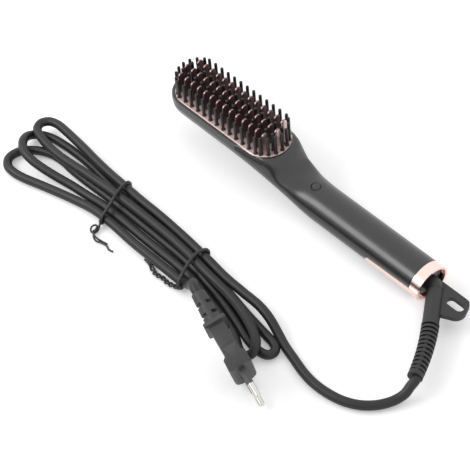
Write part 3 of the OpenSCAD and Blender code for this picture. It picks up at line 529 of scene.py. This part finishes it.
# ---------------------------------------------------------------- ties
# Twist ties, in millimetres: a wire round the bundle, pressed flat beneath it, and its two ends.
FRONT_TIE = [(-73.0, -103.0, 4.2), (-72.7, -101.4, 7.6), (-73.6, -95.6, 10.4), (-75.2, -89.2, 12.8),
             (-77.2, -83.6, 13.7), (-78.8, -77.4, 13.6), (-79.5, -73.6, 12.2), (-79.7, -72.1, 9.3),
             (-79.4, -73.0, 5.4), (-78.6, -76.3, 1.9), (-77.8, -80, 0.6), (-75.5, -90, 0.6),
             (-73.8, -98.5, 0.6), (-73.3, -102.0, 1.6)]
REAR_TIE = [(1.2, -103.3, 5.2), (0.9, -102.4, 8.4), (-0.6, -98.6, 10.6), (-2.6, -93, 12.0),
            (-3.9, -87, 13.6), (-4.2, -82.8, 14.1), (-3.7, -79, 13.8), (-3.2, -76, 12.2), (-2.8, -75.1, 9.4),
            (-2.9, -76, 5.6), (-3, -78.5, 1.9), (-2.5, -82, 0.6), (-1, -90, 0.6), (0.3, -98, 0.6),
            (1.0, -102.2, 2.0)]
FRONT_END = [(-72.9, -103.2, 4.2), (-71.6, -104.8, 3.4), (-70.4, -107.2, 2.0), (-70.8, -109.8, 1.0),
             (-73.0, -110.8, 1.1), (-75.0, -109.3, 1.8), (-75.0, -106.9, 2.4), (-73.2, -105.9, 2.8),
             (-71.4, -107.6, 3.1), (-70.4, -110.2, 2.6), (-69.0, -112.2, 1.6), (-65.4, -113.4, 0.9),
             (-61.5, -112.2, 1.3), (-57.5, -111.4, 1.0), (-54, -112.3, 0.8), (-51.1, -111.5, 0.8)]
FRONT_SPARE = [(-73.3, -103.0, 2.6), (-72.6, -105, 1.6), (-72.2, -107.4, 0.9), (-71.6, -109.9, 2.4),
               (-70.4, -111.2, 3.0), (-68.0, -112.0, 2.4), (-64.8, -112.1, 2.0), (-61.2, -110.9, 1.0),
               (-57.9, -110.4, 1.4)]
REAR_TWIST = [(1.1, -103.4, 4.2), (-0.6, -102.9, 2.6), (-3.8, -103.7, 1.7), (-8.4, -104.6, 1.6),
              (-12.9, -104.2, 1.6), (-15.9, -104.8, 1.6), (-19.2, -105.0, 1.6), (-22.4, -104.0, 1.4)]
REAR_TIP = [(-26.5, -102.9, 1.4), (-32.2, -101.9, 1.2)]
REAR_SPARE_TIP = [(-26.0, -101.9, 1.2), (-31.2, -101.9, 2.4)]
TIE_R, TIE_STEP = 1.05, 1.2
FRONT_END_R, REAR_END_R, END_STEP = 0.62, 0.72, 0.6
TIE_RESOLUTION, END_RESOLUTION = 6, 4
# A wire's middle line stays this high, and its radius shrinks to keep the gap to the table, or to this share.
WIRE_LOW, WIRE_GAP, WIRE_FLAT = 0.6, 0.1, 0.5
# A closed loop meets its start again after at least this many samples.
LOOP_LEAST = 21
# The two rear ends: their turns about each other, their distance from the line between them, and how much of
# that distance they keep in height.
TWISTS, TWIST_R, TWIST_RISE = 3.5, 1.0, 0.8


def closed_line(points):
    """The points of a closed loop, eased through its start."""
    line = eased([points[-1]] + points + [points[0], points[1]], TIE_STEP)
    off_start = [(at - Vector(points[0])).length for at in line]
    start = min(range(len(line)), key=lambda k: off_start[k])
    finish = min(range(start + LOOP_LEAST, len(line)), key=lambda k: off_start[k])
    return line[start:finish]


def twisted(points, start):
    """One of two wires wound round each other: it circles the given line."""
    line = eased(points, END_STEP)
    out = []
    for k, at in enumerate(line):
        way = (line[min(k + 1, len(line) - 1)] - line[max(k - 1, 0)]).normalized()
        side = way.cross(Vector((0, 0, 1))).normalized()
        lift = side.cross(way)
        angle = start + 2 * pi * TWISTS * k / (len(line) - 1)
        out.append(at + TWIST_R * (cos(angle) * side + TWIST_RISE * sin(angle) * lift))
    return out


def wire(name, points, radius, resolution=END_RESOLUTION, closed=False):
    """A bent wire of the ties: the mesh of a round curve, pressed flat where it passes under the cords."""
    points = [Vector((p.x, p.y, max(p.z, WIRE_LOW))) for p in points]
    curve = cord_curve(name + "_line", points, radius, tie_pvc, "swivel", resolution)
    spline = curve.data.splines[0]
    spline.use_cyclic_u = closed
    for point, at in zip(spline.points, points):
        point.radius = min(1, max(WIRE_FLAT, (at.z - WIRE_GAP) / radius))
    shape = bpy.data.meshes.new_from_object(curve.evaluated_get(bpy.context.evaluated_depsgraph_get()))
    shape.name = name
    bpy.data.objects.remove(curve)
    return new_piece(name, shape, tie_pvc, "swivel")


front_tie = wire("front_tie_wire", closed_line(FRONT_TIE), TIE_R, TIE_RESOLUTION, closed=True)
rear_tie = wire("rear_tie_wire", closed_line(REAR_TIE), TIE_R, TIE_RESOLUTION, closed=True)
tie_ends = [wire("front_tie_end", eased(FRONT_END, END_STEP), FRONT_END_R),
            wire("front_tie_spare_end", eased(FRONT_SPARE, END_STEP), FRONT_END_R)]
for name, start, tip in (("rear_tie_end", 0, REAR_TIP), ("rear_tie_spare_end", pi, REAR_SPARE_TIP)):
    tie_ends.append(wire(name, twisted(REAR_TWIST, start) + [Vector(p) for p in tip], REAR_END_R))
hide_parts("cord_ties")

# ---------------------------------------------------------------- skins
smoothed("upper_shell", "handle", SHELL_ANGLE)
smoothed("lower_shell", "handle", SHELL_ANGLE)
smoothed("end_collar", "handle")
smoothed("heating_plate", "handle")
smoothed("comb_fins", "handle", edge_mm=FIN_EDGE_MM)
smoothed("bristles", "handle")
bristle_feet()
relief_skin = smoothed("strain_relief", "swivel")
plug_skin = plug_moulding()
button_with_draft()
pin_skin = smoothed("plug_pins", "swivel")
sleeve_skin = smoothed("pin_sleeves", "swivel")

# ---------------------------------------------------------------- floor, light and background
# Half the width of the paper, and how far it lies below the part, in metres.
FLOOR_HALF, FLOOR_DROP = 0.8, 0.0003
# Glow of the paper to the rays that see it, which lights no matt surface.
FLOOR_LIFT = 0.3
# Strength of the sky on matt surfaces, and what mirrors see of it below and above the horizon.
SKY, MIRROR_LOW, MIRROR_HIGH = 0.55, 0.35, 1.2
# The horizon is a soft band between these heights, and it leans by this much for each unit of Y.
HORIZON_LOW, HORIZON_HIGH, HORIZON_LEAN = -0.3, 0.0, 0.5


def seen_rays(tree):
    """1 for rays that see the backdrop straight, through glass or by a mirror, and 0 for those that light."""
    path = add(tree, "LightPath")
    seen = add(tree, "Math", {0: path.outputs["Is Camera Ray"], 1: path.outputs["Is Glossy Ray"]},
               operation="MAXIMUM")
    return add(tree, "Math", {0: seen.outputs[0], 1: path.outputs["Is Transmission Ray"]},
               operation="MAXIMUM")


def paper_floor():
    """A wide sheet of matt white paper just under the part, with a faint tone of its fibres."""
    work = bmesh.new()
    bmesh.ops.create_grid(work, x_segments=1, y_segments=1, size=FLOOR_HALF)
    bmesh.ops.translate(work, verts=work.verts, vec=(0, 0, -FLOOR_DROP))
    mesh = bpy.data.meshes.new("floor")
    work.to_mesh(mesh)
    work.free()
    floor = bpy.data.objects.new("floor", mesh)
    bpy.context.scene.collection.objects.link(floor)
    paper, tree = start_material("white_paper_floor")
    place = add(tree, "TexCoord").outputs["Object"]
    fibre = add(tree, "TexNoise", {"Vector": place, "Scale": 1000 / PAPER_FIBRE_MM, "Detail": 2})
    tone = add(tree, "Mix", {"Factor": fibre.outputs["Fac"], "A": linear("#f2f2f3"), "B": linear("#f8f8f8")},
               data_type="RGBA")
    matt = add(tree, "BsdfDiffuse", {"Color": tone.outputs["Result"]})
    lift = add(tree, "Math", {0: seen_rays(tree).outputs[0], 1: FLOOR_LIFT}, operation="MULTIPLY")
    glow = add(tree, "Emission", {"Strength": lift.outputs[0]})
    both = add(tree, "AddShader", {0: matt.outputs["BSDF"], 1: glow.outputs["Emission"]})
    add(tree, "OutputMaterial", {"Surface": both.outputs["Shader"]})
    wear(floor, paper)


def softbox(name, place, aim, size, watts, mirrored):
    """A rectangular lamp that looks at a point, and that shows in mirrors or doesn't."""
    data = bpy.data.lights.new(name, "AREA")
    data.shape, data.size, data.size_y, data.energy = "RECTANGLE", *size, watts
    light = bpy.data.objects.new(name, data)
    light.location = place
    light.rotation_euler = (Vector(aim) - Vector(place)).to_track_quat("-Z", "Y").to_euler()
    light.visible_glossy = mirrored
    bpy.context.scene.collection.objects.link(light)


def white_room():
    """A white background. Matt surfaces get a soft sky, and mirrors a room that grows darker downwards."""
    world = bpy.data.worlds.new("studio")
    bpy.context.scene.world = world
    world.use_nodes = True
    tree = world.node_tree
    tree.nodes.clear()
    way = add(tree, "SeparateXYZ", {"Vector": add(tree, "TexCoord").outputs["Generated"]})
    lean = add(tree, "Math", {0: way.outputs["Y"], 1: HORIZON_LEAN, 2: way.outputs["Z"]},
               operation="MULTIPLY_ADD")
    mirrored = add(tree, "MapRange", {"Value": lean.outputs[0], "From Min": HORIZON_LOW,
                                      "From Max": HORIZON_HIGH, "To Min": MIRROR_LOW, "To Max": MIRROR_HIGH})
    path = add(tree, "LightPath")
    direct = add(tree, "Math", {0: path.outputs["Is Camera Ray"], 1: path.outputs["Is Transmission Ray"]},
                 operation="MAXIMUM")
    strength = add(tree, "MapRange", {"Value": path.outputs["Is Glossy Ray"], "To Min": SKY,
                                      "To Max": mirrored.outputs["Result"]})
    strength = add(tree, "MapRange", {"Value": direct.outputs[0], "To Min": strength.outputs["Result"],
                                      "To Max": 1.0})
    glow = add(tree, "Background", {"Color": (1, 1, 1, 1), "Strength": strength.outputs["Result"]})
    add(tree, "OutputWorld", {"Surface": glow.outputs["Background"]})


paper_floor()
softbox("overhead_softbox", place=(-0.1, 0.45, 1.3), aim=(0, -0.04, 0), size=(2.0, 1.6), watts=6,
        mirrored=False)
softbox("side_softbox", place=(-0.64, -0.66, 0.86), aim=(0, 0, 0.02), size=(1.0, 0.5), watts=6.5,
        mirrored=True)
white_room()
bpy.context.scene.view_settings.view_transform = "Standard"
